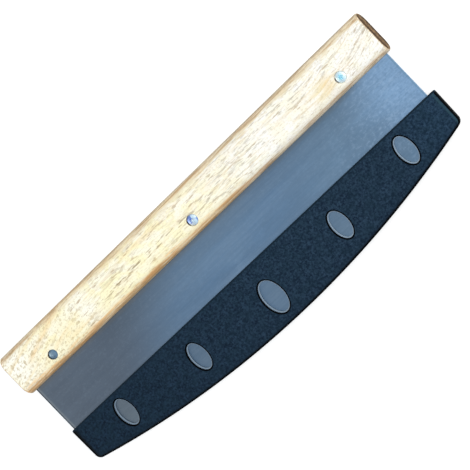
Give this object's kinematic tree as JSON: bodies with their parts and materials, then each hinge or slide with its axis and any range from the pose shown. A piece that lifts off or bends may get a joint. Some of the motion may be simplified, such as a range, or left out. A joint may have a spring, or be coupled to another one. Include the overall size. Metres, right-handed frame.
{
  "type": "rocking pizza knife",
  "caption": "Rocking knife with a wide curved steel blade under a round-edged wooden bar handle, held by screw posts, with a slip-on edge sheath pierced by oval windows.",
  "frame": {"origin": "below the middle of the whole object, on the plane that the handle's back rests on", "axes": "+X along the handle towards the end that shows its end face in the picture, +Y in the blade's plane from the cutting edge to the handle's top, +Z square to the blade, out of the front face"},
  "size_m": [0.358, 0.1212, 0.02],
  "materials": {
    "handle_wood": "pale open-grained wood, sanded and thinly oiled",
    "blade_steel": "fine satin brushed along the handle",
    "sleeve_steel": "plain satin domes",
    "screw_steel": "bright nickelled steel with a cross recess",
    "sheath_plastic": "fine-grained matte black, smoother on the edges and in the windows"
  },
  "bodies": {
    "knife": {"handle": "handle_wood", "blade": "blade_steel", "sleeve_left": "sleeve_steel", "sleeve_middle": "sleeve_steel", "sleeve_right": "sleeve_steel", "screw_left": "screw_steel", "screw_middle": "screw_steel", "screw_right": "screw_steel"},
    "sheath": {"sheath": "sheath_plastic"}
  },
  "joints": [
    {"name": "sheath_slide", "type": "slide", "parent": "knife", "child": "sheath", "axis": [0, -1, 0], "range_m": [0, 0.06]}
  ]
}
